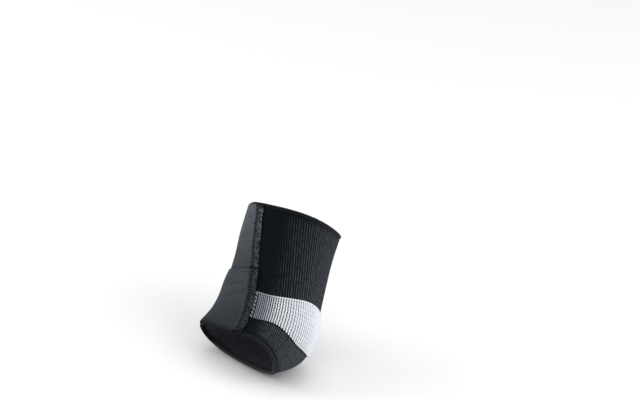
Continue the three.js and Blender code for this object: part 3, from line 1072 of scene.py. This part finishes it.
def grey_elastic(name, shade, toe_shade, pile_light):
    """Brushed grey elastic with broken lines across it, and a sewn end: pile, a dark trench and a ridge."""
    look = ELASTIC
    made = Cloth(name, roughness=0.85, sheen=0.02, tint=COOL)
    across, along = made.knit()
    fleck = made.noise(scale=1100, detail=2)
    broken = made.noise(scale=1.0, detail=2, stretch=look["break_size"]).step(*look["break"])
    line = ((along * (1 / LINE_PITCH)).apply("FRACT") + -0.5).apply("ABSOLUTE").step(*look["line"])
    line = line * broken * along.step(*look["lines_from"])
    weave = weighed((line, fleck.step(*look["fleck"])), look["weave"]).one_minus()
    high = made.colour(weave, *tones(shade, look["plain"]))
    low = made.colour(weave, *tones(toe_shade, look["plain"]))
    # Painted shade: the plain elastic darkens towards the toes
    plain = made.colour(along.step(*look["shade_from"]), low, high)
    fuzz = made.mark("fuzz").step(*look["fuzz"])
    tuft = fuzz * fleck.spread(*look["fuzz_light"])
    pile = made.colour(tuft, *tones(shade, (look["pile_dark"], pile_light)))
    trench = made.colour(fleck.step(*look["trench_fleck"]), *tones(shade, look["trench"]))
    ridge = made.colour(tuft, *tones(shade, (look["ridge_dark"], pile_light * look["ridge_light"])))
    colour = pile
    for place, further in ((PILE_END, trench), (RIDGE_START, ridge), (RIDGE_END, plain)):
        colour = made.colour(across.step(place - SEWN_SOFT, place + SEWN_SOFT), colour, further)
    # Painted shade from the dark mark: the strap's edges, the shadow along the lap, and shade falling from
    # the rim to the lap and along the toe rim
    colour = made.colour(made.mark("dark"), colour, *tones(shade, (look["dark"],)))
    height = weave + fuzz * across.step(PILE_END, PILE_END - PILE_FADE)
    return made.finish(colour, height, strength=0.3, distance=0.0003)


def thread_material(name, low, high):
    """Twisted sewing thread."""
    made = Cloth(name, roughness=0.75, sheen=0.1, tint=WHITE)
    fleck = made.noise(scale=2500, detail=2)
    return made.finish(made.colour(fleck, low, high), fleck, strength=0.4, distance=0.0002)


def floor_material():
    """Plain pale floor."""
    material = bpy.data.materials.new("floor")
    material.use_nodes = True
    shader = material.node_tree.nodes["Principled BSDF"]
    shader.inputs["Base Color"].default_value = (0.86, 0.86, 0.865, 1)
    shader.inputs["Roughness"].default_value = 0.9
    shader.inputs["Specular IOR Level"].default_value = 0.1
    return material


def finished(piece, material, slot, *nodes):
    """A piece with its material, riding on the only body and standing for CAD nodes."""
    piece.data.materials.append(material)
    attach(piece, "root")
    if nodes:
        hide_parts(*nodes)
    return piece


def upper_low(share):
    """Lower edge of the upper strap."""
    return lap_edge(share) - LAP_COVER


def upper_high(share):
    """Upper edge of the upper strap."""
    return instep_edge(share, HEM_SHOWS["instep"])


def lower_low(share):
    """Lower edge of the lower strap."""
    return toe_edge(share, HEM_SHOWS["toe"])


sleeve = finished(make_sleeve(), black_knit(), "black_knit", "knit_sleeve")
inset = finished(make_inset(), white_knit(), "white_knit", "knit_inset")
hem_material = hem_knit()
toe_hem = finished(
    make_hem("toe_hem_knit", lambda share: toe_edge(share, 0), lambda share: toe_edge(share, TOE_HEM)),
    hem_material,
    "hem_knit",
    "toe_hem",
)
instep_hem = finished(
    make_hem(
        "instep_hem_knit",
        lambda share: instep_edge(share, INSTEP_HEM),
        lambda share: instep_edge(share, 0),
    ),
    hem_material,
    "hem_knit",
    "instep_hem",
)

# Straps, each with a softer round at its upper edge: shades, rows between their edges, seeds of the pile.
# The lower strap's grey is the same elastic painted darker, and darker still towards the toes: painted shade
UPPER_GREY = (0.083, 0.091, 0.106)
LOWER_GREY = (0.047, 0.055, 0.065)
TOE_GREY = (0.0275, 0.0322, 0.0385)
UPPER_ROWS = [144]
LOWER_ROWS = [96, 32, 16]
UPPER_SEED = 7
LOWER_SEED = 8
upper = finished(
    make_strap(
        "upper_strap_elastic",
        [upper_low, upper_high],
        UPPER_ROWS,
        flat_floor,
        SEAM,
        RIM_ROUND,
        dark_edges,
        UPPER_SEED,
    ),
    grey_elastic("grey_elastic_upper", UPPER_GREY, UPPER_GREY, pile_light=1.3),
    "grey_elastic",
    "upper_strap",
)
# The lower strap: the same elastic with its grey, pile and stitches painted darker, painted shade
lower = finished(
    make_strap(
        "lower_strap_elastic",
        [lower_low, ramp_start, ramp_end, lap_edge],
        LOWER_ROWS,
        climb,
        LOWER_SEAM,
        LAP_ROUND,
        dark_toe,
        LOWER_SEED,
    ),
    grey_elastic("grey_elastic_lower", LOWER_GREY, TOE_GREY, pile_light=0.95),
    "grey_elastic",
    "lower_strap",
)

grey_thread = thread_material("grey_thread", (0.025, 0.027, 0.03), (0.085, 0.09, 0.1))
# The lower strap's thread is the grey thread painted darker: painted shade
dark_thread = thread_material("dark_thread", (0.016, 0.018, 0.02), (0.056, 0.06, 0.068))
white_thread = thread_material("white_thread", (0.14, 0.15, 0.17), (0.31, 0.32, 0.35))
upper_stitches = finished(
    make_stitches("upper_strap_stitches", lap_edge, upper_high, flat_floor, SEAM), grey_thread, "grey_elastic"
)
lower_stitches = finished(
    make_stitches("lower_strap_stitches", lower_low, lap_edge, climb, LOWER_SEAM), dark_thread, "grey_elastic"
)
overlock = finished(make_overlock(), white_thread, "white_knit")

# Camera
back = Vector(
    (
        math.sin(AZIMUTH) * math.cos(ELEVATION),
        -math.cos(AZIMUTH) * math.cos(ELEVATION),
        math.sin(ELEVATION),
    )
)
right = Vector((math.cos(AZIMUTH), math.sin(AZIMUTH), 0))
up = back.cross(right)
aim = right * (PICTURE[0] / 2 - ORIGIN_PIXEL[0]) + up * (ORIGIN_PIXEL[1] - PICTURE[1] / 2)
aim *= MM / PIXELS_PER_MM
camera = bpy.data.objects.new("camera", bpy.data.cameras.new("camera"))
camera.data.sensor_width = SENSOR
camera.data.lens = PIXELS_PER_MM * DISTANCE * SENSOR / PICTURE[0]
camera.location = aim + back * DISTANCE * MM
camera.rotation_mode = "QUATERNION"
camera.rotation_quaternion = (-back).to_track_quat("-Z", "Y")
camera.data.clip_start = CLIP_START
camera.data.clip_end = CLIP_END
bpy.context.scene.collection.objects.link(camera)
bpy.context.scene.camera = camera

# Floor under the ball of the bandage
FLOOR_HALF = 6.0
FLOOR_GAP = 0.0003
floor_mesh = bpy.data.meshes.new("floor")
floor_corners = [(x * FLOOR_HALF, y * FLOOR_HALF, 0) for x, y in ((-1, -1), (1, -1), (1, 1), (-1, 1))]
floor_mesh.from_pydata(floor_corners, [], [(0, 1, 2, 3)])
floor = bpy.data.objects.new("floor", floor_mesh)
floor.location.z = cad_low.z - FLOOR_GAP
floor_mesh.materials.append(floor_material())
bpy.context.scene.collection.objects.link(floor)

# Soft studio light: where each lamp stands from the object, its size and its power
LAMPS = (
    ("overhead", (0.2, 0.3, 1.9), 2.6, 22),
    ("left", (-1.2, -0.6, 0.8), 1.0, 10),
    ("right", (1.3, 0.2, 0.75), 1.0, 11),
)
for name, place, size, power in LAMPS:
    light = bpy.data.lights.new(name, "AREA")
    light.size = size
    light.energy = power
    lamp = bpy.data.objects.new(name, light)
    lamp.location = place
    lamp.rotation_mode = "QUATERNION"
    lamp.rotation_quaternion = (-Vector(place)).to_track_quat("-Z", "Y")
    bpy.context.scene.collection.objects.link(lamp)

WORLD_LIGHT = 0.5
world = bpy.data.worlds.new("studio")
world.use_nodes = True
world.node_tree.nodes["Background"].inputs["Color"].default_value = (1, 1, 1, 1)
world.node_tree.nodes["Background"].inputs["Strength"].default_value = WORLD_LIGHT
bpy.context.scene.world = world
bpy.context.scene.view_settings.view_transform = "Standard"
